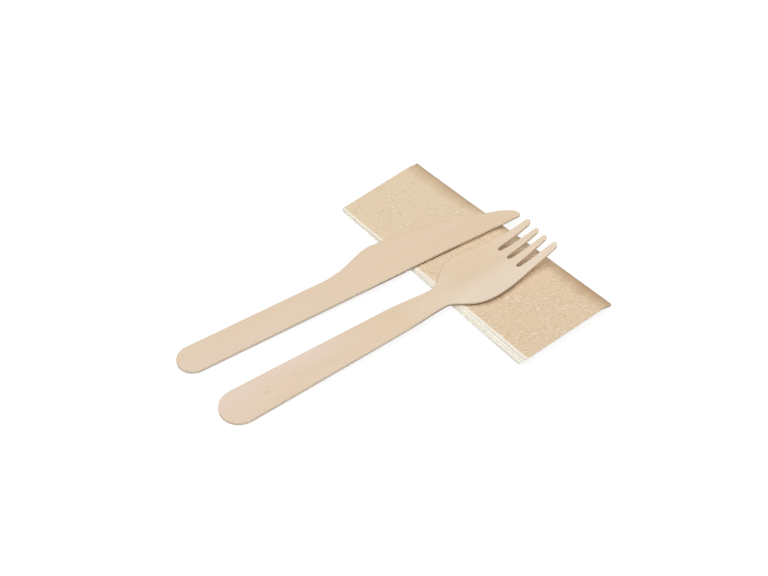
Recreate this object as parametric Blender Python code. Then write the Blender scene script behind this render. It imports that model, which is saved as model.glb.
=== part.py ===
"""Disposable wooden knife and fork lying across a folded paper napkin.

Metres, +Z up, +X along the cutlery. The handle ends and the napkin lie on the
plane z = 0, and each piece of cutlery also leans on the napkin.
"""
import math

import bmesh
import bpy
from mathutils import Euler, Matrix, Vector

MM = 0.001

# Both blanks are die-cut from one thickness of birch veneer board.
WOOD_THICKNESS = 1.6 * MM
EDGE_BREAK = 0.15 * MM
SEAT_GAP = 0.3 * MM

# Knife: x from the handle's end to the tip, y = 0 on the middle of the handle.
KNIFE_LENGTH = 165.0 * MM
KNIFE_HANDLE_WIDTH = 14.1 * MM
KNIFE_BLADE_WIDTH = 20.9 * MM
KNIFE_RAMP_START = 77.5 * MM
KNIFE_RAMP_END = 96.0 * MM
KNIFE_RAMP_START_FILLET = 6.5 * MM
KNIFE_RAMP_END_FILLET = 2.5 * MM
KNIFE_BACK_PULLS = (0.34, 0.28)
KNIFE_BACK_END_SLOPE = -0.34
KNIFE_NOSE_LENGTH = 9.0 * MM
KNIFE_NOSE_HEIGHT = 8.2 * MM
KNIFE_NOSE_PULLS = (0.45, 0.4)
KNIFE_TIP_RADIUS = 1.0 * MM
TOOTH_PITCH = 1.5 * MM
TOOTH_DEPTH = 0.3 * MM
TEETH_START = 104.0 * MM
TEETH_LENGTH = 48.0 * MM

# Fork: x from the handle's end to the tines, y = 0 on its line of symmetry.
FORK_LENGTH = 159.5 * MM
FORK_END_WIDTH = 17.2 * MM
FORK_GRIP_LENGTH = 80.0 * MM
FORK_GRIP_WIDTH = 13.9 * MM
FORK_NECK_X = 103.5 * MM
FORK_NECK_WIDTH = 10.8 * MM
FORK_NECK_PULLS = (0.42, 0.25)
FORK_HEAD_X = 123.5 * MM
FORK_HEAD_WIDTH = 28.4 * MM
FORK_FLARE_PULLS = (0.3, 0.575)
FORK_TINES_WIDTH = 21.6 * MM
FORK_CHEEK_PULLS = (0.29, 0.45)
SLOT_LENGTH = 19.2 * MM
SLOT_SPACING = 6.1 * MM
SLOT_ROOT_WIDTH = 2.3 * MM
OUTER_TIP_Y = 8.8 * MM
OUTER_TIP_WIDTH = 2.9 * MM
INNER_TIP_Y = 2.65 * MM
INNER_TIP_WIDTH = 2.2 * MM
INNER_TINE_SHORTFALL = 0.5 * MM
TIP_STRETCH = 1.4
BOWL_DIP = 0.6 * MM
BOWL_DISH = 1.3 * MM
DISH_AT_TIPS = 0.2
TINE_RISE = 5.8 * MM
TINE_RISE_START = 126.0 * MM
BEND_STEP = 3.0 * MM
BEND_LANES = 6

# Napkin: one square sheet, pleated into five panels and then folded in half.
SHEET_THICKNESS = 0.12 * MM
NAPKIN_LENGTH = 120.0 * MM
PANEL_WIDTH = 47.8 * MM
PANEL_FLARE = 3.0 * MM
PANELS = 5
CREASE_PITCH = 0.2 * MM
OPEN_END_PITCH = 0.46 * MM
FAR_SIDE_PRESS = 0.55
NEAR_SIDE_PRESS = 0.87
PRESS_WIDTH = 7.0 * MM
CREASE_SKEW = 3.2 * MM
END_SPLAY = 1.6 * MM
END_SETBACK = 2.6 * MM
PANEL_STEPS = 7
FOLD_STEPS = 4
CREASE_STEPS = 6
LEAF_STEPS = 14
TOP_SAMPLES_ALONG = 60
TOP_SAMPLES_ACROSS = 16

# Where the pieces lie, in the plane of the table.
NAPKIN_CENTRE = (40.7 * MM, -6.0 * MM)
NAPKIN_HEADING = math.radians(5.5)
KNIFE_END = (-92.5 * MM, 8.8 * MM)
KNIFE_HEADING = math.radians(-0.88)
FORK_END = (-91.0 * MM, -23.2 * MM)
FORK_HEADING = math.radians(1.07)

END_STEPS = 24
CURVE_STEPS = 10
TIP_STEPS = 6
MITRE_LIMIT = 2.0
SLICE_TOLERANCE = 0.0001 * MM
SHARP_ANGLE = math.radians(35.0)


def bezier(p0, p1, p2, p3, steps):
    """Points of a cubic curve from p0 to p3, without the last one."""
    points = []
    for i in range(steps):
        t = i / steps
        u = 1.0 - t
        weights = (u * u * u, 3.0 * u * u * t, 3.0 * u * t * t, t * t * t)
        points.append(tuple(sum(w * p[k] for w, p in zip(weights, (p0, p1, p2, p3)))
                            for k in range(2)))
    return points


def curve(start, end, pulls, slopes, steps):
    """A cubic curve from start to end, without end.

    Each pull is the share of the run in x that its end keeps to its slope.
    """
    run = end[0] - start[0]
    leave = pulls[0] * run
    arrive = pulls[1] * run
    return bezier(start, (start[0] + leave, start[1] + leave * slopes[0]),
                  (end[0] - arrive, end[1] - arrive * slopes[1]), end, steps)


def fillet(start, corner, end, steps):
    """Points that round a corner, from the tangent point start to end."""
    towards_start = tuple(s + (c - s) * 2.0 / 3.0 for s, c in zip(start, corner))
    towards_end = tuple(e + (c - e) * 2.0 / 3.0 for e, c in zip(end, corner))
    return bezier(start, towards_start, towards_end, end, steps) + [end]


def arc(centre, radius, start, sweep, steps, stretch=1.0):
    """Points of an arc, both ends included, drawn out along x by the stretch."""
    return [(centre[0] + stretch * radius * math.cos(start + sweep * i / steps),
             centre[1] + radius * math.sin(start + sweep * i / steps))
            for i in range(steps + 1)]


def knife_back(half, top):
    """The knife's upper side, from the handle over the shoulder to the tip."""
    slope = (top - half) / (KNIFE_RAMP_END - KNIFE_RAMP_START)
    ramp_low = (KNIFE_RAMP_START + KNIFE_RAMP_START_FILLET,
                half + slope * KNIFE_RAMP_START_FILLET)
    ramp_high = (KNIFE_RAMP_END - KNIFE_RAMP_END_FILLET,
                 top - slope * KNIFE_RAMP_END_FILLET)
    shoulder = (KNIFE_RAMP_END + KNIFE_RAMP_END_FILLET, top)
    nose = (KNIFE_LENGTH - KNIFE_NOSE_LENGTH, KNIFE_NOSE_HEIGHT - half)
    tip = (KNIFE_LENGTH, KNIFE_TIP_RADIUS - half)
    leave = KNIFE_NOSE_PULLS[0] * KNIFE_NOSE_LENGTH
    arrive = KNIFE_NOSE_PULLS[1] * (nose[1] - tip[1])
    points = fillet((KNIFE_RAMP_START - KNIFE_RAMP_START_FILLET, half),
                    (KNIFE_RAMP_START, half), ramp_low, TIP_STEPS)
    points += fillet(ramp_high, (KNIFE_RAMP_END, top), shoulder, TIP_STEPS)
    points += curve(shoulder, nose, KNIFE_BACK_PULLS, (0.0, KNIFE_BACK_END_SLOPE),
                    2 * CURVE_STEPS)[1:]
    points += bezier(nose, (nose[0] + leave, nose[1] + leave * KNIFE_BACK_END_SLOPE),
                     (tip[0], tip[1] + arrive), tip, CURVE_STEPS)
    return points


def knife_outline():
    """The knife's outline, counter-clockwise, starting at the handle's end."""
    half = KNIFE_HANDLE_WIDTH / 2.0
    points = arc((half, 0.0), half, math.pi / 2.0, math.pi, END_STEPS)
    teeth = round(TEETH_LENGTH / TOOTH_PITCH)
    for i in range(teeth):
        points.append((TEETH_START + i * TOOTH_PITCH, -half))
        points.append((TEETH_START + (i + 0.5) * TOOTH_PITCH, -half + TOOTH_DEPTH))
    points.append((TEETH_START + teeth * TOOTH_PITCH, -half))
    points += arc((KNIFE_LENGTH - KNIFE_TIP_RADIUS, KNIFE_TIP_RADIUS - half),
                  KNIFE_TIP_RADIUS, -math.pi / 2.0, math.pi / 2.0, TIP_STEPS)
    points += reversed(knife_back(half, KNIFE_BLADE_WIDTH - half))
    return points


def fork_side():
    """The fork's side with positive y, from the grip to the outer tine."""
    end = FORK_END_WIDTH / 2.0
    grip = (FORK_GRIP_LENGTH, FORK_GRIP_WIDTH / 2.0)
    neck = (FORK_NECK_X, FORK_NECK_WIDTH / 2.0)
    head = (FORK_HEAD_X, FORK_HEAD_WIDTH / 2.0)
    tine = (FORK_LENGTH - SLOT_LENGTH / 2.0, FORK_TINES_WIDTH / 2.0)
    tip = (FORK_LENGTH - TIP_STRETCH * OUTER_TIP_WIDTH / 2.0,
           OUTER_TIP_Y + OUTER_TIP_WIDTH / 2.0)
    taper = (grip[1] - end) / (grip[0] - end)
    tine_taper = (tip[1] - tine[1]) / (tip[0] - tine[0])
    points = curve(grip, neck, FORK_NECK_PULLS, (taper, 0.0), CURVE_STEPS)
    points += curve(neck, head, FORK_FLARE_PULLS, (0.0, 0.0), CURVE_STEPS)
    points += curve(head, tine, FORK_CHEEK_PULLS, (0.0, tine_taper), CURVE_STEPS)
    return points + [tine]


def fork_outline():
    """The fork's outline, counter-clockwise, starting at the handle's end."""
    side = fork_side()
    end = FORK_END_WIDTH / 2.0
    points = arc((end, 0.0), end, math.pi / 2.0, math.pi, END_STEPS)
    points += [(x, -y) for x, y in side]
    # The tines and slots in turn, from the most negative y to the most positive.
    root_radius = SLOT_ROOT_WIDTH / 2.0
    root_x = FORK_LENGTH - SLOT_LENGTH + TIP_STRETCH * root_radius
    outer = (OUTER_TIP_Y, OUTER_TIP_WIDTH / 2.0, FORK_LENGTH)
    inner = (INNER_TIP_Y, INNER_TIP_WIDTH / 2.0, FORK_LENGTH - INNER_TINE_SHORTFALL)
    tines = ((outer, -1.0), (inner, -1.0), (inner, 1.0), (outer, 1.0))
    for i, ((y, radius, reach), side_sign) in enumerate(tines):
        if i > 0:
            points += arc((root_x, (i - 2) * SLOT_SPACING), root_radius,
                          -math.pi / 2.0, -math.pi, TIP_STEPS, TIP_STRETCH)
        points += arc((reach - TIP_STRETCH * radius, side_sign * y), radius,
                      -math.pi / 2.0, math.pi, TIP_STEPS, TIP_STRETCH)
    points += reversed(side)
    return points


def inset(points, distance):
    """The counter-clockwise outline moved inwards by a distance, corners mitred."""
    moved = []
    count = len(points)
    for i, point in enumerate(points):
        here = Vector(point)
        before = (here - Vector(points[i - 1])).normalized()
        after = (Vector(points[(i + 1) % count]) - here).normalized()
        normal_before = Vector((-before.y, before.x))
        normal_after = Vector((-after.y, after.x))
        middle = (normal_before + normal_after).normalized()
        mitre = distance * min(MITRE_LIMIT, 1.0 / middle.dot(normal_before))
        moved.append(tuple(here + middle * mitre))
    return moved


def blank(outline):
    """A flat board of the wood's thickness, with its edges lightly broken."""
    mesh = bmesh.new()
    inner = inset(outline, EDGE_BREAK)
    levels = ((inner, 0.0), (outline, EDGE_BREAK),
              (outline, WOOD_THICKNESS - EDGE_BREAK), (inner, WOOD_THICKNESS))
    rings = [[mesh.verts.new((x, y, z)) for x, y in ring] for ring, z in levels]
    count = len(outline)
    for lower, upper in zip(rings, rings[1:]):
        for i in range(count):
            j = (i + 1) % count
            mesh.faces.new((lower[i], lower[j], upper[j], upper[i]))
    mesh.faces.new(list(reversed(rings[0])))
    mesh.faces.new(rings[-1])
    return mesh


def slice_mesh(mesh, point, normal):
    """Cuts every face along a plane and keeps both sides."""
    geometry = mesh.verts[:] + mesh.edges[:] + mesh.faces[:]
    bmesh.ops.bisect_plane(mesh, geom=geometry, dist=SLICE_TOLERANCE,
                           plane_co=point, plane_no=normal)


def smoothstep(value, low, high):
    """Zero below low, one above high, and an S-curve between them."""
    t = min(1.0, max(0.0, (value - low) / (high - low)))
    return t * t * (3.0 - 2.0 * t)


def knife_height(x, y):
    """The knife is flat all over."""
    return 0.0


def fork_height(x, y):
    """How far the pressed head stands above the flat of the handle."""
    dip = BOWL_DIP * smoothstep(x, FORK_GRIP_LENGTH, FORK_HEAD_X)
    run = max(0.0, x - TINE_RISE_START) / (FORK_LENGTH - TINE_RISE_START)
    dished = smoothstep(x, FORK_NECK_X, FORK_HEAD_X) * (1.0 - (1.0 - DISH_AT_TIPS) * run)
    across = y / (FORK_HEAD_WIDTH / 2.0)
    return TINE_RISE * run * run - dip + BOWL_DISH * dished * across * across


def stack_pitch(p, q):
    """Distance between neighbouring layers at p along and q across the napkin."""
    pitch = CREASE_PITCH + (OPEN_END_PITCH - CREASE_PITCH) * smoothstep(p, 0.0, NAPKIN_LENGTH)
    edge = min(1.0, max(0.0, 1.0 - min(q, PANEL_WIDTH - q) / PRESS_WIDTH))
    press = FAR_SIDE_PRESS if q > PANEL_WIDTH / 2.0 else NEAR_SIDE_PRESS
    return max(CREASE_PITCH, pitch * (1.0 - (1.0 - press) * edge * edge))


def pleat_line():
    """One leaf's sheet, edge to edge, as (level, q, fold direction) points.

    The level counts layers from the middle of the stack: 0.5 is next to the
    middle and PANELS - 0.5 is on the outside. It changes along a half circle in
    each fold, where the direction is how far the fold bulges past the panel.
    """
    line = []
    for panel in range(PANELS):
        level = PANELS - 0.5 - panel
        forwards = panel % 2 == 0
        for i in range(PANEL_STEPS + 1):
            q = PANEL_WIDTH * i / PANEL_STEPS
            line.append((level, q if forwards else PANEL_WIDTH - q, 0.0))
        if panel < PANELS - 1:
            for i in range(1, FOLD_STEPS):
                angle = math.pi * i / FOLD_STEPS
                bulge = 0.5 * math.sin(angle) * (1.0 if forwards else -1.0)
                line.append((level - 0.5 + 0.5 * math.cos(angle),
                             PANEL_WIDTH if forwards else 0.0, bulge))
    return line


def leaf_section(p):
    """One leaf's sheet at p along it, as a closed loop of (height, q) points.

    Heights are above the middle of the stack. The sheet's two faces lie half its
    thickness each side of the pleated line.
    """
    centre = []
    for level, q, bulge in pleat_line():
        pitch = stack_pitch(p, q)
        centre.append(Vector((level * pitch, q + bulge * pitch)))
    faces = ([], [])
    for i, point in enumerate(centre):
        before = centre[max(0, i - 1)]
        after = centre[min(len(centre) - 1, i + 1)]
        along = (after - before).normalized()
        normal = Vector((along.y, -along.x)) * (SHEET_THICKNESS / 2.0)
        faces[0].append(point + normal)
        faces[1].append(point - normal)
    return faces[0] + faces[1][::-1]


def napkin_point(p, q, height, below, turn=0.0):
    """Place of a sheet point in the napkin's frame, centred and lying on z = 0."""
    middle = SHEET_THICKNESS / 2.0 + (PANELS - 0.5) * stack_pitch(p, q)
    share = p / NAPKIN_LENGTH
    slip = 0.5 - height / (2.0 * PANELS * stack_pitch(p, q)) * (-1.0 if below else 1.0)
    width = PANEL_WIDTH + PANEL_FLARE * (share - 0.5)
    x = (q / PANEL_WIDTH - 0.5) * width - END_SPLAY * share * slip
    skew = CREASE_SKEW * (0.5 - q / PANEL_WIDTH) * (1.0 - share)
    y = NAPKIN_LENGTH / 2.0 - p * (1.0 - END_SETBACK / NAPKIN_LENGTH * slip) - skew
    y += height * math.sin(turn)
    z = middle + height * math.cos(turn)
    return (x, y, z)


def napkin_mesh():
    """The whole folded sheet, swept from the upper leaf round to the lower one."""
    mesh = bmesh.new()
    stations = [(NAPKIN_LENGTH * (1.0 - i / LEAF_STEPS), 0.0) for i in range(LEAF_STEPS)]
    stations += [(0.0, math.pi * i / CREASE_STEPS) for i in range(CREASE_STEPS + 1)]
    stations += [(NAPKIN_LENGTH * i / LEAF_STEPS, math.pi) for i in range(1, LEAF_STEPS + 1)]
    rings = []
    for p, turn in stations:
        below = turn > math.pi / 2.0
        rings.append([mesh.verts.new(napkin_point(p, q, height, below, turn))
                      for height, q in leaf_section(p)])
    count = len(rings[0])
    for ring, following in zip(rings, rings[1:]):
        for i in range(count):
            j = (i + 1) % count
            mesh.faces.new((ring[i], ring[j], following[j], following[i]))
    half = count // 2
    for ring in (rings[0], rings[-1]):
        for i in range(half - 1):
            mesh.faces.new((ring[i], ring[i + 1], ring[count - 2 - i], ring[count - 1 - i]))
    bmesh.ops.recalc_face_normals(mesh, faces=mesh.faces[:])
    return mesh


def fork_mesh():
    """The fork's blank, sliced finely enough over its head and pressed to shape."""
    mesh = blank(fork_outline())
    steps = math.ceil((FORK_LENGTH - FORK_GRIP_LENGTH) / BEND_STEP)
    for i in range(steps):
        x = FORK_LENGTH - (i + 0.5) * BEND_STEP
        slice_mesh(mesh, (x, 0.0, 0.0), (1.0, 0.0, 0.0))
    for i in range(1, BEND_LANES):
        y = FORK_HEAD_WIDTH * (i / BEND_LANES - 0.5)
        slice_mesh(mesh, (0.0, y, 0.0), (0.0, 1.0, 0.0))
    for vert in mesh.verts:
        vert.co.z += fork_height(vert.co.x, vert.co.y)
    return mesh


def material(name, colour, roughness):
    """A plain Principled material with no metal in it."""
    made = bpy.data.materials.new(name)
    made.use_nodes = True
    shader = made.node_tree.nodes["Principled BSDF"]
    shader.inputs["Base Color"].default_value = (*colour, 1.0)
    shader.inputs["Roughness"].default_value = roughness
    shader.inputs["Metallic"].default_value = 0.0
    return made


def add_object(name, mesh, finish, parent):
    """Turns a bmesh into a named object under the pack's empty."""
    data = bpy.data.meshes.new(name)
    mesh.to_mesh(data)
    mesh.free()
    data.shade_smooth()
    data.set_sharp_from_angle(angle=SHARP_ANGLE)
    data.materials.append(finish)
    made = bpy.data.objects.new(name, data)
    bpy.context.collection.objects.link(made)
    made.parent = parent
    return made


def is_inside(outline, x, y):
    """True where a point lies inside a closed outline."""
    inside = False
    for (x0, y0), (x1, y1) in zip(outline, outline[1:] + outline[:1]):
        if (y0 > y) != (y1 > y) and x < x0 + (x1 - x0) * (y - y0) / (y1 - y0):
            inside = not inside
    return inside


def resting_tilt(end, heading, outline, height, supports):
    """The tilt at which a piece, standing on its end, just clears the supports."""
    along = Vector((math.cos(heading), math.sin(heading)))
    across = Vector((-along.y, along.x))
    steepest = 0.0
    for support in supports:
        offset = Vector((support.x - end[0], support.y - end[1]))
        x = offset.dot(along)
        y = offset.dot(across)
        if is_inside(outline, x, y):
            steepest = max(steepest, math.atan2(support.z + SEAT_GAP - height(x, y), x))
    return steepest


def napkin_top():
    """Points over the napkin's upper face, in the napkin's own frame."""
    points = []
    for i in range(TOP_SAMPLES_ALONG + 1):
        for j in range(TOP_SAMPLES_ACROSS + 1):
            p = NAPKIN_LENGTH * i / TOP_SAMPLES_ALONG
            q = PANEL_WIDTH * j / TOP_SAMPLES_ACROSS
            height = (PANELS - 0.5) * stack_pitch(p, q) + SHEET_THICKNESS / 2.0
            points.append(Vector(napkin_point(p, q, height, False)))
    return points


def lay(piece, end, heading, tilt):
    """Puts a piece's handle end on the table and lets it lean."""
    piece.location = (end[0], end[1], 0.0)
    piece.rotation_euler = Euler((0.0, -tilt, heading))


def build():
    for existing in list(bpy.data.objects):
        bpy.data.objects.remove(existing)

    pack = bpy.data.objects.new("pack", None)
    bpy.context.collection.objects.link(pack)

    paper = material("kraft_tissue", (0.74, 0.61, 0.41), 0.9)
    knife_wood = material("birch_knife", (0.77, 0.62, 0.47), 0.55)
    fork_wood = material("birch_fork", (0.79, 0.65, 0.50), 0.55)

    napkin = add_object("napkin", napkin_mesh(), paper, pack)
    napkin.location = (*NAPKIN_CENTRE, 0.0)
    napkin.rotation_euler = Euler((0.0, 0.0, NAPKIN_HEADING))
    turned = Matrix.Translation(napkin.location) @ napkin.rotation_euler.to_matrix().to_4x4()
    supports = [turned @ point for point in napkin_top()]

    knife = add_object("knife", blank(knife_outline()), knife_wood, pack)
    knife_tilt = resting_tilt(KNIFE_END, KNIFE_HEADING, knife_outline(), knife_height, supports)
    lay(knife, KNIFE_END, KNIFE_HEADING, knife_tilt)

    fork = add_object("fork", fork_mesh(), fork_wood, pack)
    fork_tilt = resting_tilt(FORK_END, FORK_HEADING, fork_outline(), fork_height, supports)
    lay(fork, FORK_END, FORK_HEADING, fork_tilt)

    # The pack's own origin is under the middle of everything.
    bpy.context.view_layer.update()
    corners = [piece.matrix_world @ vert.co for piece in (napkin, knife, fork)
               for vert in piece.data.vertices]
    middle = [(min(c[k] for c in corners) + max(c[k] for c in corners)) / 2.0 for k in (0, 1)]
    pack.location = (-middle[0], -middle[1], 0.0)


build()
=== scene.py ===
# %% [markdown]
# # A wooden knife and fork on a folded paper napkin
# The set that a takeaway hands out: a knife and a fork stamped from thin birch
# board, lying across an unbleached napkin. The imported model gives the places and
# the sizes of the three pieces. This lesson gives them the finer surface and the
# materials of the real ones, and photographs them in soft studio light.

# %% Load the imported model
import math

import bmesh
import bpy
import numpy as np
from mathutils import Euler, Matrix, Vector


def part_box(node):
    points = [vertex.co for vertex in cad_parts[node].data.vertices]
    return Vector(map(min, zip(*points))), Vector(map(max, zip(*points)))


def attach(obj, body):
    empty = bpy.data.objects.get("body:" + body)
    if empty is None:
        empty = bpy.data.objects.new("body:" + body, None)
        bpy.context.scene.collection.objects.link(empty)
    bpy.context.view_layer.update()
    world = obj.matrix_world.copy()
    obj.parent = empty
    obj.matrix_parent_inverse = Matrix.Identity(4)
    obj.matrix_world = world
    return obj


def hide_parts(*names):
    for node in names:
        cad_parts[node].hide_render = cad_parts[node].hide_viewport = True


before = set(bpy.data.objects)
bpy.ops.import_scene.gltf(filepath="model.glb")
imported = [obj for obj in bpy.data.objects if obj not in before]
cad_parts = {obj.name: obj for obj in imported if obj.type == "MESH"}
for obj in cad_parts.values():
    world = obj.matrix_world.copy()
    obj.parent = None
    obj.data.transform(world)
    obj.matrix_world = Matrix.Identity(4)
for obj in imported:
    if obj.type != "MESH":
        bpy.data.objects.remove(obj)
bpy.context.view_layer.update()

MM = 0.001
print("pieces in the packed model:", ", ".join(sorted(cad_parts)))

# %% [markdown]
# ## Two small helpers
# Colours are written as the sRGB hex values that a picture program shows, and a
# shader wants linear ones, so one function converts them. Another adds a node to
# a material: its settings, and what goes into its inputs, all in one call, so that
# a material below reads as a list of what it is made from. An input takes a
# number, a hex colour, a socket, or a node, which stands for its first output.

# %% Helpers for colours and nodes
def linear(hex_colour):
    """An sRGB hex colour as the linear RGBA that a shader works in."""
    channels = [int(hex_colour[i:i + 2], 16) / 255 for i in (1, 3, 5)]
    return (*(c / 12.92 if c <= 0.04045 else ((c + 0.055) / 1.055) ** 2.4
              for c in channels), 1.0)


def add(tree, kind, inputs=None, **settings):
    """Adds a node, sets it up, and fills its inputs with values or links."""
    node = tree.nodes.new(kind)
    for name, value in settings.items():
        setattr(node, name, value)
    for name, value in (inputs or {}).items():
        if isinstance(value, bpy.types.Node):
            value = next(output for output in value.outputs if output.enabled)
        if isinstance(value, bpy.types.NodeSocket):
            tree.links.new(value, node.inputs[name])
        else:
            node.inputs[name].default_value = linear(value) if isinstance(value, str) else value
    return node


def new_material(name, **surface):
    """A material with its Principled shader set: returns it, its tree and the shader."""
    material = bpy.data.materials.new(name)
    material.use_nodes = True
    shader = material.node_tree.nodes["Principled BSDF"]
    for socket, value in surface.items():
        shader.inputs[socket.replace("_", " ")].default_value = value
    return material, material.node_tree, shader


print("kraft brown in linear light:", [round(c, 3) for c in linear("#E2CDB1")[:3]])

# %% [markdown]
# ## Birch, sanded and die-cut
# Throw-away cutlery is stamped from rotary-cut birch veneer, about 1.6 mm thick,
# pressed in a hot mould and tumbled until the splinters are off. Nothing is put
# on it, so it looks dry: pale, faintly pink, with long soft streaks from the
# growth rings, fine fibres, and thin brown flecks where a pore was cut open.
#
# An image of wood could be wrapped round each piece, but its grain would not
# follow the stamping. Here the mesh keeps, for each of its points, the place that
# the point had on the flat board before it was pressed, and the noise is read at
# that place. The grain then runs along the handle and up the tines, as in life.
# All of it is one kind of noise, stretched to the size of what it stands for.

# %% Noise stretched into streaks
def streaks(tree, place, size, detail, low, high, roughness=0.5, distortion=0.0):
    """Noise stretched to a size in millimetres, its range spread to run from 0 to 1."""
    scaled = add(tree, "ShaderNodeMapping", {
        "Vector": place, "Scale": tuple(1 / (side * MM) for side in size)})
    noise = add(tree, "ShaderNodeTexNoise", {
        "Vector": scaled, "Scale": 1.0, "Detail": detail, "Roughness": roughness,
        "Distortion": distortion})
    return add(tree, "ShaderNodeMapRange", {"Value": noise, "From Min": low, "From Max": high})


# %% [markdown]
# A board is not one colour from end to end. Sapwood, which lay nearer the bark, is
# almost white, and here it shows in the neck, along one side of the head and at the
# tips. The handle has a pink blush, strongest at its end. Each change is a soft step
# at a place measured on the photograph. They could be painted, but a list of steps
# says where each one is, and moves with a change of the board. The last four steps
# place painted shade and painted light on the cut edge.

# %% Soft steps over the board
# Each runs along x, from the handle's end, or across along y: from where, to where,
# both in millimetres, and what it is worth at the two.
BOARD_STEPS = {
    "handle": ("X", 100, 20, 0.0, 1.0),
    "handle_end": ("X", 36, 4, 0.0, 0.3),
    "past_neck_start": ("X", 82, 100, 0.0, 0.4),
    "before_neck_end": ("X", 120, 106, 0.0, 1.0),
    "head": ("X", 85, 112, 0.0, 1.0),
    "head_side": ("Y", 3, -8, 0.0, 1.0),
    "tips": ("X", 132, 152, 0.0, 0.5),
    # The next three place the painted shade at the foot of the cut edge: higher and darker round
    # the blade and the head, half faded on the tines.
    "pressed": ("X", 78, 96, 0.0, 1.0),
    "head_foot_shade_depth": ("X", 78, 96, 0.72, 1.0),
    "tine_foot_shade_fade": ("X", 126, 139, 1.0, 0.5),
    # This one paints light on the shaded cut edges of the tines.
    "tine_edge_painted_light": ("X", 126, 139, 0.0, 0.85),
}
print("soft steps over the board:", len(BOARD_STEPS))

# %% [markdown]
# The faces are laid down in layers, as the eye finds them: first the rings, then the
# blush and the sapwood over them, and on top the fibres and the open pores.

# %% The board's faces
def birch_face(tree, place, fibres, step, colours, sapwood):
    """The colour of the board's faces, layer over layer."""
    pale, dark, blush = colours
    # The growth rings, peeled nearly flat: soft bands 5 mm wide and 90 mm long.
    rings = streaks(tree, place, (90, 5, 20), 3.0, 0.32, 0.68, 0.55, 0.6)
    mixed = add(tree, "ShaderNodeMix", {0: rings, 6: pale, 7: dark}, data_type="RGBA")
    # The blush comes in clouds as wide as the handle.
    clouds = streaks(tree, place, (60, 18, 18), 1.0, 0.3, 0.7)
    # Pores: dashes 2.4 mm long. Real ones are 0.1 mm wide; 0.2 mm shows.
    pores = streaks(tree, place, (2.4, 0.2, 0.2), 1.0, 0.70, 0.78)

    neck = add(tree, "ShaderNodeMath", {
        0: step["past_neck_start"], 1: step["before_neck_end"]}, operation="MULTIPLY")
    side = add(tree, "ShaderNodeMath", {
        0: step["head_side"], 1: step["head"]}, operation="MULTIPLY")
    white = add(tree, "ShaderNodeMath", {0: neck, 1: step["tips"]}, operation="MAXIMUM")
    white = add(tree, "ShaderNodeMath", {0: side, 1: white}, operation="MAXIMUM")

    layers = [(clouds, step["handle"], blush), (step["handle_end"], 1.0, blush),
              (white, sapwood, "#E9D9C5"), (fibres, 0.13, "#C9AC8C"), (pores, 0.22, "#A98663")]
    for mask, strength, colour in layers:
        share = add(tree, "ShaderNodeMath", {0: mask, 1: strength}, operation="MULTIPLY")
        mixed = add(tree, "ShaderNodeMix", {0: share, 6: mixed, 7: colour}, data_type="RGBA")
    return mixed


# %% [markdown]
# The die's blade crushes the cut edge, which turns grey and rough. A thin brown line
# at the foot of the edge is painted shade, where the lower edge turns from the light.
# Round the knife's blade and the fork's head, where they lie on the napkin, the line is
# darker and 0.3 mm wider, a painted contact shadow. The tines' edges are painted pale,
# painted light on their shaded sides, and the painted line on them is half gone.

# %% The die-cut edge
def die_cut_edge(tree, place, height, step):
    """Where the cut edge is, how crushed it is there, and its colour with its painted shade and
    light.
    """
    normal = add(tree, "ShaderNodeNewGeometry").outputs["Normal"]
    slope = add(tree, "ShaderNodeSeparateXYZ", {"Vector": normal})
    upright = add(tree, "ShaderNodeMath", {0: slope.outputs["Z"]}, operation="ABSOLUTE")
    wall = add(tree, "ShaderNodeMapRange", {
        "Value": upright, "From Min": 0.35, "From Max": 0.85, "To Min": 1.0, "To Max": 0.0},
        interpolation_type="SMOOTHSTEP")
    crush = streaks(tree, place, (0.6, 0.6, 2.5), 3.0, 0.3, 0.7)
    edge = add(tree, "ShaderNodeMix", {0: crush, 6: "#D5C4AE", 7: "#E2D2BE"}, data_type="RGBA")
    # The tines' edges are painted pale: painted light on their shaded sides.
    edge = add(tree, "ShaderNodeMix", {
        0: step["tine_edge_painted_light"], 6: edge, 7: "#F8E3C8"}, data_type="RGBA")

    # The painted shade is full up to 0.2 mm above the foot, and gone at 0.55 mm.
    above = add(tree, "ShaderNodeMath", {
        0: step["pressed"], 1: -0.3 * MM, 2: height}, operation="MULTIPLY_ADD")
    foot = add(tree, "ShaderNodeMapRange", {
        "Value": above, "From Min": 0.55 * MM, "From Max": 0.2 * MM},
        interpolation_type="SMOOTHSTEP")
    # The painted shade's brown; it is made darker round the head and half faded on the tines.
    foot_shade_colour = add(tree, "ShaderNodeMix", {0: crush, 6: "#6B5640", 7: "#8A745C"}, data_type="RGBA")
    for share in (step["head_foot_shade_depth"], step["tine_foot_shade_fade"]):
        foot = add(tree, "ShaderNodeMath", {0: foot, 1: share}, operation="MULTIPLY")
    edge = add(tree, "ShaderNodeMix", {0: foot, 6: edge, 7: foot_shade_colour}, data_type="RGBA")
    return wall, crush, edge


# %% [markdown]
# The two boards were cut from different sheets. The knife's is even. The fork's is
# half sapwood, and has a pin knot in its handle, a small oval that is darker in the
# middle. Both are matt, with the roughness of wood that was sanded and left bare.

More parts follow.
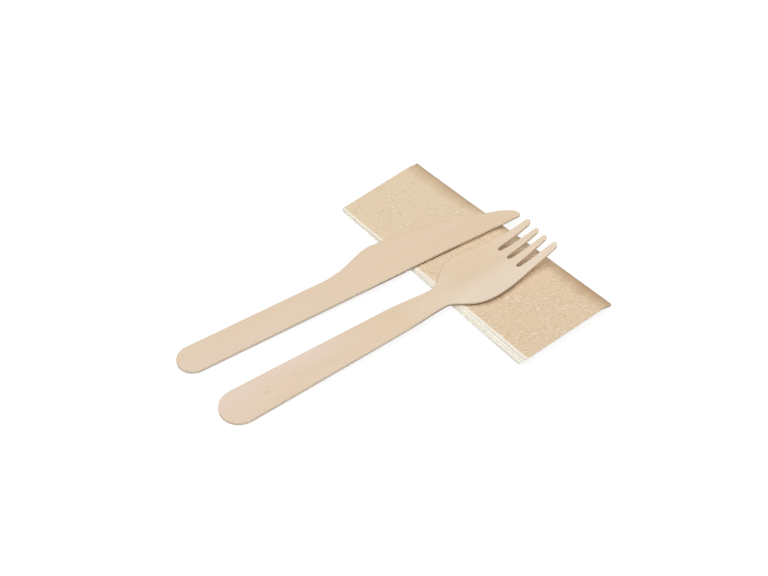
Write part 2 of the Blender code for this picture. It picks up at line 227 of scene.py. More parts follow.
# %% The birch of the two boards
def birch(name, colours, offset, sapwood=0.0, knots=()):
    """A birch board's material; the offset picks its stretch of the veneer."""
    material, tree, shader = new_material(name, Roughness=0.68, IOR=1.45)
    on_board = add(tree, "ShaderNodeAttribute", attribute_name="board").outputs["Vector"]
    place = add(tree, "ShaderNodeVectorMath", {0: on_board, 1: offset}, operation="ADD")
    along = add(tree, "ShaderNodeSeparateXYZ", {"Vector": on_board})
    step = {key: add(tree, "ShaderNodeMapRange", {
        "Value": along.outputs[axis], "From Min": start * MM, "From Max": end * MM,
        "To Min": low, "To Max": high}, interpolation_type="SMOOTHSTEP")
        for key, (axis, start, end, low, high) in BOARD_STEPS.items()}
    # Fibres are 0.02 mm wide. Bundles of 0.35 mm are what shows at this distance.
    fibres = streaks(tree, place, (16, 0.35, 0.35), 4.0, 0.3, 0.7, 0.6)
    face = birch_face(tree, place, fibres, step, colours, sapwood)

    for x, y, length, width in knots:
        apart = add(tree, "ShaderNodeVectorMath", {
            0: on_board, 1: (x * MM, y * MM, 0.0)}, operation="SUBTRACT")
        scaled = add(tree, "ShaderNodeVectorMath", {
            0: apart, 1: (2 / (length * MM), 2 / (width * MM), 0.0)}, operation="MULTIPLY")
        reach = add(tree, "ShaderNodeVectorMath", {0: scaled}, operation="LENGTH")
        knot = add(tree, "ShaderNodeMapRange", {
            "Value": reach, "From Min": 0.1, "From Max": 1.0, "To Min": 0.4, "To Max": 0.0},
            interpolation_type="SMOOTHSTEP")
        face = add(tree, "ShaderNodeMix", {0: knot, 6: face, 7: "#B0907A"}, data_type="RGBA")

    wall, crush, edge = die_cut_edge(tree, place, along.outputs["Z"], step)
    mixed = add(tree, "ShaderNodeMix", {0: wall, 6: face, 7: edge}, data_type="RGBA")
    tree.links.new(mixed.outputs[2], shader.inputs["Base Color"])
    # The sanded fibres stand 0.012 mm proud, and the crushed edge is three times as rough.
    rough = add(tree, "ShaderNodeMath", {0: crush, 1: wall}, operation="MULTIPLY")
    height = add(tree, "ShaderNodeMath", {
        0: rough, 1: 3.0, 2: fibres}, operation="MULTIPLY_ADD")
    bump = add(tree, "ShaderNodeBump", {
        "Height": height, "Strength": 0.5, "Distance": 0.012 * MM})
    tree.links.new(bump.outputs["Normal"], shader.inputs["Normal"])
    return material


birch_knife = birch("birch_board_knife", ("#E3CDB3", "#E0CAAE", "#E2CEBA"), (0.0, 0.0, 0.0))
birch_fork = birch("birch_board_fork", ("#E3CDB1", "#DEC8AC", "#E7D5CC"), (0.31, 0.07, 0.0),
                   sapwood=0.85, knots=[(20.0, -0.6, 3.0, 1.4)])
print("birch:", len(birch_knife.node_tree.nodes), "nodes for the knife and",
      len(birch_fork.node_tree.nodes), "for the fork")

# %% [markdown]
# ## Lines for the stamping die
# A die is drawn as one closed line. The real one is made of straight runs, arcs
# and smooth sweeps between them, and so is this one: a cubic curve for a sweep,
# a short curve to round a corner, and circular arcs for ends and slots. Drawing
# it from the few sizes that a designer would write down keeps it smooth at any
# closeness, which tracing points never does.

# %% Curves for the outlines
def bezier(p0, p1, p2, p3, steps):
    """Points of a cubic curve from p0 to p3, without the last one."""
    t = np.arange(steps)[:, None] / steps
    p0, p1, p2, p3 = (np.array(p) for p in (p0, p1, p2, p3))
    line = ((1 - t) ** 3 * p0 + 3 * (1 - t) ** 2 * t * p1
            + 3 * (1 - t) * t * t * p2 + t ** 3 * p3)
    return [tuple(p) for p in line]


def sweep(start, end, pulls, slopes, steps):
    """A cubic from start to end, each end keeping its slope for its pull of the run."""
    run = end[0] - start[0]
    return bezier(start, (start[0] + pulls[0] * run, start[1] + pulls[0] * run * slopes[0]),
                  (end[0] - pulls[1] * run, end[1] - pulls[1] * run * slopes[1]), end, steps)


def fillet(start, corner, end, steps):
    """Rounds the corner between two tangent points."""
    near = [tuple(p + (c - p) * 2 / 3 for p, c in zip(point, corner)) for point in (start, end)]
    return bezier(start, near[0], near[1], end, steps) + [end]


def arc(centre, radius, start, turn, steps, stretch=1.0):
    """An arc, both ends included, drawn out along x; start and turn are in degrees."""
    angles = np.radians(start + turn * np.arange(steps + 1) / steps)
    return [(centre[0] + stretch * radius * math.cos(a), centre[1] + radius * math.sin(a))
            for a in angles]


def inset(points, distance):
    """The counter-clockwise outline moved inwards, its corners mitred."""
    p = np.array(points)
    before = p - np.roll(p, 1, axis=0)
    after = np.roll(before, -1, axis=0)
    normals = [np.stack([-v[:, 1], v[:, 0]], 1) / np.linalg.norm(v, axis=1)[:, None]
               for v in (before, after)]
    middle = normals[0] + normals[1]
    middle /= np.linalg.norm(middle, axis=1)[:, None]
    mitre = np.minimum(2.0, 1.0 / (middle * normals[0]).sum(1))
    return [tuple(q) for q in p + middle * (distance * mitre)[:, None]]


print("a quarter circle in 3 steps:",
      [(round(x, 2), round(y, 2)) for x, y in arc((0, 0), 1, 0, 90, 3)])

# %% [markdown]
# ## The knife's outline
# A straight handle with a full round end, a ramp up to the blade, and a back that
# falls in one long curve to a blunt tip. The cutting side stays in line with the
# handle and carries fine teeth, stamped in the same stroke: 1.5 mm apart and only
# 0.3 mm deep, as wood would break off anything longer.

# %% Draw the knife
KNIFE_LENGTH, KNIFE_HANDLE, KNIFE_BLADE = 165.0 * MM, 14.1 * MM, 20.9 * MM
TEETH, TEETH_START, TOOTH_PITCH, TOOTH_DEPTH = 32, 104.0 * MM, 1.5 * MM, 0.3 * MM
TIP_ROUND = 1.0 * MM


def knife_line():
    """The knife's outline, counter-clockwise, from the end of its handle."""
    half, top = KNIFE_HANDLE / 2, KNIFE_BLADE - KNIFE_HANDLE / 2
    ramp, crest = 77.5 * MM, 96.0 * MM
    slope = (top - half) / (crest - ramp)
    low, high = 6.5 * MM, 2.5 * MM
    nose, tip = (156.0 * MM, 8.2 * MM - half), (KNIFE_LENGTH, TIP_ROUND - half)
    points = arc((half, 0.0), half, 90, 180, 48)
    for i in range(TEETH):
        x = TEETH_START + i * TOOTH_PITCH
        points += [(x, -half), (x + TOOTH_PITCH / 2, -half + TOOTH_DEPTH)]
    points.append((TEETH_START + TEETH * TOOTH_PITCH, -half))
    points += arc((KNIFE_LENGTH - TIP_ROUND, TIP_ROUND - half), TIP_ROUND, -90, 90, 10)
    back = fillet((ramp - low, half), (ramp, half), (ramp + low, half + slope * low), 14)
    back += fillet((crest - high, top - slope * high), (crest, top), (crest + high, top), 12)
    back += sweep((crest + high, top), nose, (0.34, 0.28), (0.0, -0.34), 48)[1:]
    back += bezier(nose, (nose[0] + 4.05 * MM, nose[1] - 4.05 * MM * 0.34),
                   (tip[0], tip[1] + 0.4 * (nose[1] - tip[1])), tip, 24)
    return points + back[::-1]


print("knife:", len(knife_line()), "points round its outline")

# %% [markdown]
# ## The fork's outline
# The handle is widest at its round end and narrows to a slim neck, which flares
# into the head. Three slots leave four tines. The outer two are the wider ones.
# Tips and the roots of the slots are long ovals: a square root would tear.

# %% Draw the fork
FORK_LENGTH, FORK_HEAD = 159.5 * MM, 28.4 * MM
SLOT_LENGTH, SLOT_SPACING = 19.2 * MM, 6.1 * MM


def fork_line():
    """The fork's outline, counter-clockwise, from the end of its handle."""
    end, oval, root = 8.6 * MM, 1.4, 1.15 * MM
    grip, neck, head = (80.0 * MM, 6.95 * MM), (103.5 * MM, 5.4 * MM), (123.5 * MM, FORK_HEAD / 2)
    tine = (FORK_LENGTH - SLOT_LENGTH / 2, 10.8 * MM)
    tip = (FORK_LENGTH - oval * 1.45 * MM, 10.25 * MM)
    taper = (grip[1] - end) / (grip[0] - end)
    tine_taper = (tip[1] - tine[1]) / (tip[0] - tine[0])
    side = sweep(grip, neck, (0.42, 0.25), (taper, 0.0), 24)
    side += sweep(neck, head, (0.3, 0.575), (0.0, 0.0), 36)
    side += sweep(head, tine, (0.29, 0.45), (0.0, tine_taper), 36) + [tine]
    points = arc((end, 0.0), end, 90, 180, 48) + [(x, -y) for x, y in side]
    # Each tine's place across, the round of its tip and how far it ends short, in mm.
    tines = ((-8.8, 1.45, 0.0), (-2.65, 1.1, 0.5), (2.65, 1.1, 0.5), (8.8, 1.45, 0.0))
    for i, (y, radius, shortfall) in enumerate(tines):
        if i > 0:
            points += arc((FORK_LENGTH - SLOT_LENGTH + oval * root, (i - 2) * SLOT_SPACING),
                          root, -90, -180, 14, oval)
        points += arc((FORK_LENGTH - (shortfall + oval * radius) * MM, y * MM),
                      radius * MM, -90, 180, 18, oval)
    return points + side[::-1]


print("fork:", len(fork_line()), "points round its outline")

# %% [markdown]
# ## From a line to a board
# The outline is raised into a board 1.6 mm thick. Tumbling wears the upper edge
# round, and the lower one, where the die came out, a little less. A box with a
# Bevel modifier would do on a simple shape, but on a line with teeth and slots
# the offsets of a bevel run into each other, so the rounded edge is built ring by
# ring from the inset outline. One more ring, just inside, keeps the faces flat
# and lets only the rim be shaded round.

# %% Raise a board from its outline
BOARD = 1.6 * MM


def board(outline, upper_round=0.3 * MM, lower_round=0.2 * MM, steps=4):
    """A bmesh of the flat board, its edge rounded ring by ring."""
    mesh = bmesh.new()
    levels = [(lower_round + 0.25 * MM, 0.0)]
    for i in range(steps + 1):
        a = math.pi / 2 * i / steps
        levels.append((lower_round * (1 - math.sin(a)), lower_round * (1 - math.cos(a))))
    for i in range(steps + 1):
        a = math.pi / 2 * i / steps
        levels.append((upper_round * (1 - math.cos(a)), BOARD - upper_round * (1 - math.sin(a))))
    levels.append((upper_round + 0.25 * MM, BOARD))
    rings = [[mesh.verts.new((x, y, z)) for x, y in inset(outline, depth)] for depth, z in levels]
    for lower, upper in zip(rings, rings[1:]):
        for i in range(len(outline)):
            mesh.faces.new((lower[i - 1], lower[i], upper[i], upper[i - 1]))
    mesh.faces.new(rings[0][::-1])
    mesh.faces.new(rings[-1])
    return mesh


print("board:", round(BOARD / MM, 1), "mm thick")

# %% [markdown]
# Every piece is finished in the same way: its mesh is laid in its place, shaded
# smooth but for its sharp edges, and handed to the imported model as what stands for
# one of its solids. A board first notes where each of its points is while it is flat,
# and is then laid by its handle's end, at a tilt and a heading.

# %% Finish and lay a piece
def finish_piece(name, mesh, place, material, node, sharp=50.0):
    """Turns a bmesh into a shaded piece that stands for one node of the pack."""
    data = bpy.data.meshes.new(name)
    mesh.transform(place)
    mesh.to_mesh(data)
    mesh.free()
    data.shade_smooth()
    data.set_sharp_from_angle(angle=math.radians(sharp))
    data.materials.append(material)
    piece = bpy.data.objects.new(name, data)
    bpy.context.collection.objects.link(piece)
    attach(piece, "root")
    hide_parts(node)
    low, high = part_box(node)
    mine = [[f(v.co[k] for v in data.vertices) for k in range(3)] for f in (min, max)]
    print(name, "-", len(data.polygons), "faces, off its solid's box by at most",
          round(max(abs(a - b) for a, b in zip((*mine[0], *mine[1]), (*low, *high))) / MM, 2), "mm")
    return piece


def remember_place(mesh):
    """Stores each point's place on the flat board, where the grain is read."""
    layer = mesh.verts.layers.float_vector.new("board")
    for vert in mesh.verts:
        vert[layer] = vert.co


def lean(x, y, tilt, heading):
    """The handle's end on the table at x, y, the other end lifted by the tilt."""
    turn = Euler((0.0, -math.radians(tilt), math.radians(heading))).to_matrix().to_4x4()
    return Matrix.Translation((x * MM, y * MM, 0.0)) @ turn


# %% [markdown]
# ## The knife
# It is flat all over, so its board only has to be laid: the end of the handle is
# on the table and the blade leans on the napkin, which lifts it 1.5 degrees.

# %% Lay the knife
mesh = board(knife_line())
remember_place(mesh)
knife = finish_piece("knife_board", mesh, lean(-82.392, 13.555, 1.545, -0.88), birch_knife, "knife")

# %% [markdown]
# ## The fork's pressed head
# After stamping, the fork's head is steamed and pressed: the bowl drops a little
# below the handle, its sides come up, and the tines sweep up to 5 mm above it.
# That is the hardest form here. The flat board is sliced finely over the head,
# and each point is then lifted by one formula of its place on the board, which
# keeps the thickness even, as pressing does. A sculpted or bent head could look
# as good, but would not stay true to the outline.

# %% Press and lay the fork
def smoothstep(value, low, high):
    """Zero below low, one above high, and an S-curve between them."""
    t = np.clip((value - low) / (high - low), 0.0, 1.0)
    return t * t * (3.0 - 2.0 * t)


GRIP_END, NECK, BOWL_MIDDLE, RISE_START = 80.0 * MM, 103.5 * MM, 123.5 * MM, 126.0 * MM
DIP, DISH, RISE = 0.6 * MM, 1.3 * MM, 5.8 * MM


def press(x, y):
    """How far the head stands above the flat of the handle at a place on the board."""
    dip = DIP * smoothstep(x, GRIP_END, BOWL_MIDDLE)
    run = max(0.0, x - RISE_START) / (FORK_LENGTH - RISE_START)
    dished = smoothstep(x, NECK, BOWL_MIDDLE) * (1.0 - 0.8 * run)
    return RISE * run * run - dip + DISH * dished * (2 * y / FORK_HEAD) ** 2


mesh = board(fork_line())
# Slices a millimetre apart along the head, and two millimetres apart across it.
for i in range(80):
    bmesh.ops.bisect_plane(mesh, geom=mesh.verts[:] + mesh.edges[:] + mesh.faces[:], dist=1e-7,
                           plane_co=(FORK_LENGTH - (i + 0.5) * MM, 0, 0), plane_no=(1, 0, 0))
for i in range(-6, 7):
    bmesh.ops.bisect_plane(mesh, geom=mesh.verts[:] + mesh.edges[:] + mesh.faces[:], dist=1e-7,
                           plane_co=(0, (i + 0.03) * 2 * MM, 0), plane_no=(0, 1, 0))
remember_place(mesh)
for vert in mesh.verts:
    vert.co.z += press(vert.co.x, vert.co.y)
fork = finish_piece("fork_board", mesh, lean(-80.892, -18.445, 2.159, 1.07), birch_fork, "fork")

# %% [markdown]
# ## Unbleached tissue
# The napkin is two plies of brown tissue, rolled between steel rollers that press
# a fine diagonal grid into them and so bind the plies. In soft crepe the grid breaks
# up into raised and sunk dashes. Unbleached pulp keeps its brown, with paler and
# darker fibres in it, and the paper is quite matt, with a little sheen from its fluff.
#
# The pattern belongs to the flat sheet. So the mesh keeps each point's place on
# the sheet, and the pattern is read there and goes round the folds with the paper.
# The third number that it keeps is how far across the pad the point lies.

# %% The embossed face
PANEL, LEAF = 47.8 * MM, 120.0 * MM


def embossed_face(tree, place, turned, loose_end):
    """The colour of the rolled tissue, with painted light on its raised dashes and painted shade in
    its sunk ones, and the height of its raised dashes.
    """
    # Real dashes are half a millimetre long. Ones of 2 mm show at this distance, and
    # take noise with cells of 3.8 mm by 0.9 mm.
    raised = streaks(tree, turned, (3.8, 0.9, 1.0), 1.0, 0.53, 0.62, 0.5, 0.4)
    sunk = streaks(tree, turned, (3.0, 0.8, 0.9), 1.0, 0.53, 0.64, 0.5, 0.4)
    # Where the plies let go of each other they fade, in patches of 13 mm. They are
    # crispest towards the loose end.
    patches = streaks(tree, place, (13, 9, 1000), 2.0, 0.38, 0.6)
    crisp = add(tree, "ShaderNodeMath", {
        0: loose_end, 1: 0.55, 2: patches}, operation="MULTIPLY_ADD", use_clamp=True)
    relief = add(tree, "ShaderNodeMath", {0: raised, 1: crisp}, operation="MULTIPLY")
    hollow = add(tree, "ShaderNodeMath", {0: sunk, 1: crisp}, operation="MULTIPLY")
    hollow = add(tree, "ShaderNodeMath", {0: hollow, 1: 0.65}, operation="MULTIPLY")
    # The raised dashes are painted lighter and the sunk ones darker: painted light and shade, over
    # the bump of the raised dashes.
    mixed = add(tree, "ShaderNodeMix", {0: relief, 6: "#E2CAAB", 7: "#F3E5CF"}, data_type="RGBA")
    mixed = add(tree, "ShaderNodeMix", {0: hollow, 6: mixed, 7: "#C4A377"}, data_type="RGBA")
    # The colour is mixed a shade paler at the cross-fold and browner at the loose end.
    paler = add(tree, "ShaderNodeMix", {0: 0.3, 6: mixed, 7: "#EAD8BC"}, data_type="RGBA")
    browner = add(tree, "ShaderNodeMix", {0: 0.3, 6: mixed, 7: "#DABF9F"}, data_type="RGBA")
    mixed = add(tree, "ShaderNodeMix", {0: loose_end, 6: paler, 7: browner}, data_type="RGBA")
    return mixed, relief


# %% [markdown]
# The folds carry painted light and shade. The far side is rolled over in a band about 7 mm
# wide with a wandering edge, painted browner as painted shade where it turns away from the
# lamps; under the cutlery the band is half as wide. The near side is painted paler, as
# painted light, and so are the layers inside it, against the shade between them. The
# lowest layer has a grey rim, a painted shadow where it meets the table.

# %% Painted light and shade on the folds
def fold_light_and_shade(tree, place, loose_end):
    """The layers of painted light and shade: where each shows, how strongly, and its colour."""
    sheet = add(tree, "ShaderNodeSeparateXYZ", {"Vector": place})
    on_panels, on_leaf, across_pad = (sheet.outputs[axis] for axis in "XYZ")

    # The rolled band of painted shade, its edge wandering by 2.5 mm and 3.5 mm nearer the fold
    # under the cutlery, which lies between 20 mm and 95 mm along the sheet.
    wander = streaks(tree, place, (400, 9, 1000), 2.0, 0.3, 0.7)
    edge = add(tree, "ShaderNodeMath", {
        0: wander, 1: 2.5 * MM, 2: across_pad}, operation="MULTIPLY_ADD")
    starts, ends = (add(tree, "ShaderNodeMapRange", {
        "Value": on_leaf, "From Min": start * MM, "From Max": end * MM},
        interpolation_type="SMOOTHSTEP") for start, end in ((20, 45), (95, 70)))
    under = add(tree, "ShaderNodeMath", {0: starts, 1: ends}, operation="MULTIPLY")
    edge = add(tree, "ShaderNodeMath", {
        0: under, 1: -3.5 * MM, 2: edge}, operation="MULTIPLY_ADD")
    rolled = add(tree, "ShaderNodeMapRange", {
        "Value": edge, "From Min": PANEL - 7.0 * MM, "From Max": PANEL + 1.0 * MM})
    roll_shade_strength = add(tree, "ShaderNodeMath", {
        0: loose_end, 1: 0.3, 2: 0.7}, operation="MULTIPLY_ADD")
    # The last 0.6 mm, at the crease, is painted darker: a painted shadow.
    crease_shadow = add(tree, "ShaderNodeMapRange", {
        "Value": across_pad, "From Min": PANEL - 0.6 * MM, "From Max": PANEL})

    # The near folds are painted pale for 1.3 mm, and the layers inside for 3 mm more: painted
    # light, against the shade between the layers.
    inside = add(tree, "ShaderNodeMath", {0: on_panels, 1: PANEL}, operation="GREATER_THAN")
    depth = add(tree, "ShaderNodeMath", {
        0: inside, 1: -3.0 * MM, 2: across_pad}, operation="MULTIPLY_ADD")
    near_fold_light = add(tree, "ShaderNodeMapRange", {
        "Value": depth, "From Min": 1.3 * MM, "From Max": 0.1 * MM},
        interpolation_type="SMOOTHSTEP")
    # The outermost layer of the lower leaf is the lowest one. Its near rim is painted grey, a
    # painted shadow where it meets the table.
    lower = add(tree, "ShaderNodeMath", {0: on_leaf, 1: LEAF}, operation="GREATER_THAN")
    lowest = add(tree, "ShaderNodeMath", {
        0: lower, 1: inside}, operation="SUBTRACT", use_clamp=True)
    # Painted shade on the rolled band and at the crease, painted light on the near folds, painted
    # shadow on the lowest rim.
    return [(rolled, roll_shade_strength, "#BC9A72"), (crease_shadow, 0.8, "#8F6F4C"), (near_fold_light, 1.0, "#FAF5E8"),
            (lowest, near_fold_light, "#A0948C")]


# %% [markdown]
# The layers of wear go over the pulp's own: paler and browner areas, and stray fibres.
# Under all of them the paper is creped, scraped off its drying drum so that it keeps
# fine ridges, which only the light shows.

# %% The tissue
def tissue():
    """Brown two-ply tissue: its face, its pulp, the painted light and shade of its folds, and the
    crepe.
    """
    material, tree, shader = new_material(
        "unbleached_embossed_tissue", Roughness=0.92, IOR=1.4, Sheen_Weight=0.1,
        Sheen_Roughness=0.6)
    place = add(tree, "ShaderNodeAttribute", attribute_name="sheet").outputs["Vector"]
    turned = add(tree, "ShaderNodeMapping", {
        "Vector": place, "Rotation": (0.0, 0.0, math.radians(40))})
    down_leaf = add(tree, "ShaderNodeSeparateXYZ", {"Vector": place}).outputs["Y"]
    loose_end = add(tree, "ShaderNodeMapRange", {
        "Value": down_leaf, "From Min": LEAF, "From Max": 0.0}, interpolation_type="SMOOTHSTEP")
    mixed, relief = embossed_face(tree, place, turned, loose_end)

    # Uneven pulp: paler and browner areas as wide as a thumb. Pulp fibres, 1.5 mm long,
    # are drawn 0.2 mm wide so that they show.
    mottle = streaks(tree, place, (16, 22, 1000), 3.0, 0.3, 0.7)
    fibres = streaks(tree, turned, (1.6, 0.22, 1.0), 1.0, 0.70, 0.80)
    layers = [(mottle, 0.35, "#E3CCAA"), (fibres, 0.25, "#A98B66")]
    for mask, strength, colour in layers + fold_light_and_shade(tree, place, loose_end):
        share = add(tree, "ShaderNodeMath", {0: mask, 1: strength}, operation="MULTIPLY")
        mixed = add(tree, "ShaderNodeMix", {0: share, 6: mixed, 7: colour}, data_type="RGBA")
    tree.links.new(mixed.outputs[2], shader.inputs["Base Color"])

    # The crepe's ridges, drawn 0.7 mm apart, and the dashes stand 0.08 mm high.
    crepe = streaks(tree, turned, (3.5, 0.7, 1.0), 3.0, 0.2, 0.8)
    height = add(tree, "ShaderNodeMath", {
        0: crepe, 1: 0.6, 2: relief}, operation="MULTIPLY_ADD")
    bump = add(tree, "ShaderNodeBump", {
        "Height": height, "Strength": 0.8, "Distance": 0.08 * MM})
    tree.links.new(bump.outputs["Normal"], shader.inputs["Normal"])
    return material


kraft_tissue = tissue()
print("tissue:", len(kraft_tissue.node_tree.nodes), "nodes")

# %% [markdown]
# ## The napkin's folds
# One sheet, 240 mm square, is pleated like a bellows into five panels 48 mm wide
# and then folded in half across them, which gives a pad of ten layers, 120 mm by
# 48 mm. It could be folded by a cloth simulation, but ten layers a few tenths of
# a millimetre apart would tangle. It is drawn instead as a machine folds it: the
# bellows line is worked out once, and swept along the upper leaf, round the
# cross-fold, and back along the lower leaf.
#
# The pad is thin at the cross-fold, where it is creased hard, and opens towards
# the loose end. Its far side is rolled down flatter than its near side, where the
# plies puff up round the folds and fill the pad's edge.

# %% The bellows line
PANELS, SHEET = 5, 0.12 * MM


def bellows():
    """The sheet's cross-section: level, place across, bulge and place on the sheet."""
    line = []
    share = 0.5 - 0.5 * np.cos(np.pi * np.arange(31) / 30)
    for panel in range(PANELS):
        level, forwards = PANELS - 0.5 - panel, panel % 2 == 0
        for s in share:
            q = PANEL * (s if forwards else 1 - s)
            line.append((level, q, 0.0, (panel + s) * PANEL))
        if panel < PANELS - 1:
            for i in range(1, 8):
                a = math.pi * i / 8
                line.append((level - 0.5 + 0.5 * math.cos(a), PANEL if forwards else 0.0,
                             0.5 * math.sin(a) * (1 if forwards else -1), (panel + 1) * PANEL))
    return np.array(line)


line = bellows()
print("bellows line:", len(line), "points over", PANELS, "panels")

# %% [markdown]
# A folded napkin is never quite true. Each fold sits a fraction of a millimetre
# off the one above it and wanders along its length, the pad swells and sinks a
# little, and the rolled edge is wider here and narrower there. These are slow
# waves, added up from a few sines, so that every run gives the same napkin.

# %% Spacing of the layers
def waves(x, seed, count=4):
    """A slow wave of about one unit, the same each run."""
    dice = np.random.default_rng(seed)
    total = np.zeros_like(x)
    for k in range(1, count + 1):
        total += dice.normal() / k * np.sin(k * x + dice.uniform(0, 2 * np.pi))
    return total / 1.6


FOLD_PITCH, END_PITCH, LEAST_PITCH = 0.2 * MM, 0.46 * MM, 0.135 * MM


def pitch(p, q):
    """Distance between layers at p along and q across the pad."""
    spacing = FOLD_PITCH + (END_PITCH - FOLD_PITCH) * smoothstep(p, 0.0, LEAF)
    spacing = spacing * (1 + 0.02 * waves(p / LEAF * 5, 3) * np.sin(np.pi * q / PANEL))
    # The far side is rolled down by nearly half over 7.5 mm, the near side hardly.
    far = np.clip(1 - (PANEL - q) / ((7.5 + 1.3 * waves(p / LEAF * 8, 8)) * MM), 0, 1)
    near = np.clip(1 - q / (5.0 * MM), 0, 1)
    pressed = (1 - 0.45 * far ** 2) * (1 - 0.13 * near ** 2)
    return np.maximum(LEAST_PITCH, spacing * pressed)


def thickness(p, q):
    """The sheet's thickness: the plies puff up where the near folds are not pressed."""
    puff = 1 - smoothstep(q, 0.3 * MM, 2.5 * MM)
    return SHEET + 0.85 * (pitch(p, q) - SHEET) * puff


gaps_in_pad = 2 * PANELS - 1
pad_height = gaps_in_pad * float(pitch(LEAF, PANEL / 2)) + SHEET
print("pad height at the loose end:", round(pad_height / MM, 1), "mm")

# %% [markdown]
# The bellows line is carried along the upper leaf to the cross-fold, half a turn
# round it, and back along the lower leaf. The stations where it stops are closer
# together at the loose end, whose far corner is rounded, as a cut corner of soft paper
# is. The skin's two faces then lie half a sheet each side of the line.

# %% Sweep the sheet round its cross-fold
def fold_offsets(p, lower):
    """How far each fold stands out across the pad, blended along each panel."""
    stops = np.arange(PANELS + 1)
    place = line[:, 3] / PANEL
    rows = []
    for k in range(PANELS + 1):
        upper_wave = 0.16 * np.sin(7 * k) + 0.14 * waves(p / LEAF * 4, 20 + k)
        lower_wave = 0.16 * np.sin(5 * k + 2) + 0.14 * waves(p / LEAF * 4, 40 + k)
        rows.append(upper_wave * (1 - lower) + lower_wave * lower)
    rows = np.array(rows)
    return np.array([np.interp(place, stops, rows[:, i]) for i in range(len(p))]) * MM


CORNER = 1.4 * MM
leaf_places = [LEAF * i / 84 for i in range(1, 84)]
leaf_places += [LEAF - CORNER * (1 - math.sin(math.pi / 2 * i / 5)) for i in range(1, 6)]
stations = [(p, 0.0, 0.0) for p in leaf_places[::-1]]
stations += [(0.0, math.pi * i / 12, i / 12) for i in range(13)]
stations += [(p, math.pi, 1.0) for p in leaf_places]
along, turn, lower = (np.array(column)[:, None] for column in zip(*stations))
level, across, bulge = (line[None, :, k] for k in range(3))
step = pitch(along, across)
height = level * step
q = across + bulge * step

# The sheet's two faces lie half its thickness each side of the line.
d_height, d_q = np.gradient(height, axis=1), np.gradient(q, axis=1)
size = np.hypot(d_height, d_q)
half = thickness(along, across) / 2
faces = [(height + side * d_q / size * half, q - side * d_height / size * half)
         for side in (1, -1)]
height = np.concatenate([faces[0][0], faces[1][0][:, ::-1]], 1)
q = np.concatenate([faces[0][1], faces[1][1][:, ::-1]], 1)
offsets = fold_offsets(along[:, 0], lower[:, 0])
offsets = np.concatenate([offsets, offsets[:, ::-1]], 1)

step = pitch(along, np.clip(q, 0, PANEL))
middle = thickness(along, np.clip(q, 0, PANEL)) / 2 + (PANELS - 0.5) * step
run = along / LEAF
sign = np.where(turn > math.pi / 2, -1.0, 1.0)
slip = 0.5 - sign * height / (2 * PANELS * step)
# The pad is 3 mm wider at its loose end, where its layers have slipped by 1.6 mm.
x = (q / PANEL - 0.5) * (PANEL + 3.0 * MM * (run - 0.5)) - 1.6 * MM * run * slip + offsets
rounding = np.clip(1 - (LEAF - along) / CORNER, 0, 1)
x -= CORNER * (1 - np.sqrt(1 - rounding ** 2)) * np.clip(q / PANEL, 0, 1) ** 12
# The lower layers end 2.6 mm short, and the cross-fold is creased 3.2 mm askew.
y = LEAF / 2 - along * (1 - 2.6 * MM / LEAF * slip)
y = y - 3.2 * MM * (0.5 - q / PANEL) * (1 - run) + height * np.sin(turn)
z = middle + height * np.cos(turn)
places = np.stack([x, y, z], -1)
print("stations:", places.shape[0], "points in each:", places.shape[1])

# %% [markdown]
# The rows of points become one closed skin. Each point keeps its place on the flat
# sheet, and its place across the pad, so that the material can draw the rollers'
# dashes and the rolled side.

# %% Make the napkin
mesh = bmesh.new()
layer = mesh.verts.layers.float_vector.new("sheet")
on_sheet = np.concatenate([line[:, 3], line[::-1, 3]])
across_pad = np.concatenate([line[:, 1], line[::-1, 1]])
down_sheet = np.where(lower > 0.5, along, -along)[:, 0] + LEAF
rings = []
for row, v_place in zip(places, down_sheet):
    ring = [mesh.verts.new(point) for point in row]
    for vert, u_place, across_place in zip(ring, on_sheet, across_pad):
        vert[layer] = (u_place, v_place, across_place)
    rings.append(ring)
count = len(rings[0])
for ring, following in zip(rings, rings[1:]):
    for i in range(count):
        mesh.faces.new((ring[i - 1], ring[i], following[i], following[i - 1]))
for ring in (rings[0], rings[-1]):
    for i in range(count // 2 - 1):
        mesh.faces.new((ring[i], ring[i + 1], ring[count - 2 - i], ring[count - 1 - i]))
bmesh.ops.recalc_face_normals(mesh, faces=mesh.faces[:])
place = Matrix.Translation((50.808 * MM, -1.245 * MM, 0.0))
place = place @ Matrix.Rotation(math.radians(5.5), 4, "Z")
napkin = finish_piece("napkin_sheet", mesh, place, kraft_tissue, "napkin")

# %% [markdown]
# ## A white table
# The set lies on a white sweep of the kind that catalogue photographs use, so
# overexposed that it leaves hardly any shadow. For the camera the table is mostly a
# steady white, with a sixth of its light left to the shadows. More light on a plain
# white board would look the same there, but it would wash out the wood as well. So
# the table first has to know which rays come from the camera.

# %% What only the camera sees
def camera_sees(tree):
    """One for rays from the camera and for mirrored or refracted views, else zero."""
    rays = add(tree, "ShaderNodeLightPath")
    seen = rays.outputs["Is Camera Ray"]
    for kind in ("Is Glossy Ray", "Is Transmission Ray"):
        seen = add(tree, "ShaderNodeMath", {0: seen, 1: rays.outputs[kind]}, operation="MAXIMUM")
    return seen


# %% [markdown]
# The table is a mat board. To the camera it glows at nearly full white. To the wood
# and the paper it is a pale board that throws back the light that falls on it.

# %% Table
material, tree, shader = new_material("white_mat_board", Roughness=0.9)
shader.inputs["Specular IOR Level"].default_value = 0.0
shader.inputs["Emission Color"].default_value = linear("#FFFFFF")
seen = camera_sees(tree)
board_white = add(tree, "ShaderNodeMix", {
    0: seen, 6: "#F2F1EF", 7: "#757575"}, data_type="RGBA")
tree.links.new(board_white.outputs[2], shader.inputs["Base Color"])
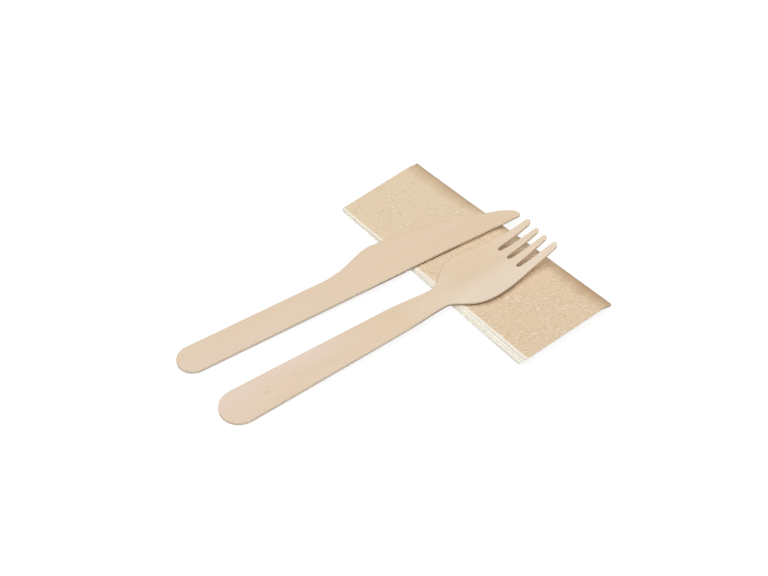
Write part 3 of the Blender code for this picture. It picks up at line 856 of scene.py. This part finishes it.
# Far from the lamps the table glows a little more, so that it stays white.
spot = add(tree, "ShaderNodeNewGeometry")
reach = add(tree, "ShaderNodeVectorMath", {0: spot.outputs["Position"]}, operation="LENGTH")
glow = add(tree, "ShaderNodeMapRange", {
    "Value": reach, "From Min": 0.3, "From Max": 1.2, "To Min": 0.85, "To Max": 1.0},
    interpolation_type="SMOOTHSTEP")
glow = add(tree, "ShaderNodeMath", {0: seen, 1: glow}, operation="MULTIPLY")
tree.links.new(glow.outputs["Value"], shader.inputs["Emission Strength"])
TABLE_SIZE, CLEARANCE = 6.0, 0.05 * MM
bpy.ops.mesh.primitive_plane_add(size=TABLE_SIZE, location=(0.0, 0.0, -CLEARANCE))
table = bpy.context.object
table.name = "table"
table.data.materials.append(material)
print("table:", TABLE_SIZE, "m square")

# %% [markdown]
# The room round the table is white too. It is seen at full strength, and gives the
# set about a fifth of its light, from all sides, which keeps every shadow open.

# %% Surroundings
AMBIENT = 0.21
world = bpy.data.worlds.new("studio")
bpy.context.scene.world = world
world.use_nodes = True
sky = world.node_tree.nodes["Background"]
sky.inputs["Color"].default_value = linear("#FFFFFF")
strength = add(world.node_tree, "ShaderNodeMapRange", {
    "Value": camera_sees(world.node_tree), "To Min": AMBIENT, "To Max": 1.0})
world.node_tree.links.new(strength.outputs["Result"], sky.inputs["Strength"])
print("table and studio are white; the room gives", AMBIENT, "of the light")

# %% [markdown]
# ## Light
# The photograph is lit very evenly. The cut edges that face the camera are nearly as
# light as the faces, a thin dark line lies where the blade and the bowl touch the
# napkin, and even the fork's slots are light inside. One lamp can't do all that, so
# there are three soft boxes. The key stands high on the camera's side, which keeps its
# shadows short and under the pieces. A weaker one behind the camera fills the edges,
# and one high behind the set shines down through the slots. Their power is worked
# out, not guessed: each gives a level surface its share of full light, and with the
# room these shares add up to the light at which a colour shows as it is written.

# %% Three soft boxes
CENTRE = Vector((10.108 * MM, 4.755 * MM, 0.0))
CAMERA_TURN = math.radians(-34.25)
LAMP_DISTANCE, LAMP_SIZE = 3.0, 1.0


def direction(turn, rise):
    """A unit vector, turned in degrees from the camera's side and raised from the table."""
    a, e = CAMERA_TURN + math.radians(turn), math.radians(rise)
    return Vector((math.sin(a) * math.cos(e), -math.cos(a) * math.cos(e), math.sin(e)))


def soft_box(name, turn, rise, share):
    """A square lamp that gives a level surface at the centre that share of full light."""
    lamp = bpy.data.lights.new(name, "AREA")
    lamp.shape = "SQUARE"
    lamp.size = LAMP_SIZE
    lamp.energy = share * math.pi ** 2 * LAMP_DISTANCE ** 2 / math.sin(math.radians(rise))
    piece = bpy.data.objects.new(name, lamp)
    bpy.context.collection.objects.link(piece)
    back = direction(turn, rise)
    piece.location = CENTRE + back * LAMP_DISTANCE
    piece.rotation_mode = "QUATERNION"
    piece.rotation_quaternion = (-back).to_track_quat("-Z", "Y")
    print(name, round(lamp.energy, 2), "W")


soft_box("key_soft_box", -8.0, 68.0, 0.36)
soft_box("front_soft_box", 0.0, 46.0, 0.17)
soft_box("back_soft_box", 160.0, 72.0, 0.28)

# %% [markdown]
# ## Camera
# The photograph was taken from 45 degrees above the table, from a little over half
# a metre, with a lens of about 61 mm on a 36 mm wide sensor.

# %% Camera
CAMERA_RISE, CAMERA_DISTANCE = 45.0, 0.547
camera_data = bpy.data.cameras.new("camera")
camera_data.sensor_width = 36.0
camera_data.lens = 60.94
camera_data.clip_start = 0.02
camera = bpy.data.objects.new("camera", camera_data)
bpy.context.collection.objects.link(camera)
back = direction(0.0, CAMERA_RISE)
camera.location = CENTRE + back * CAMERA_DISTANCE
camera.rotation_mode = "QUATERNION"
camera.rotation_quaternion = (-back).to_track_quat("-Z", "Y")
bpy.context.scene.camera = camera
bpy.context.scene.view_settings.view_transform = "Standard"
print("camera at", [round(v, 3) for v in camera.location])
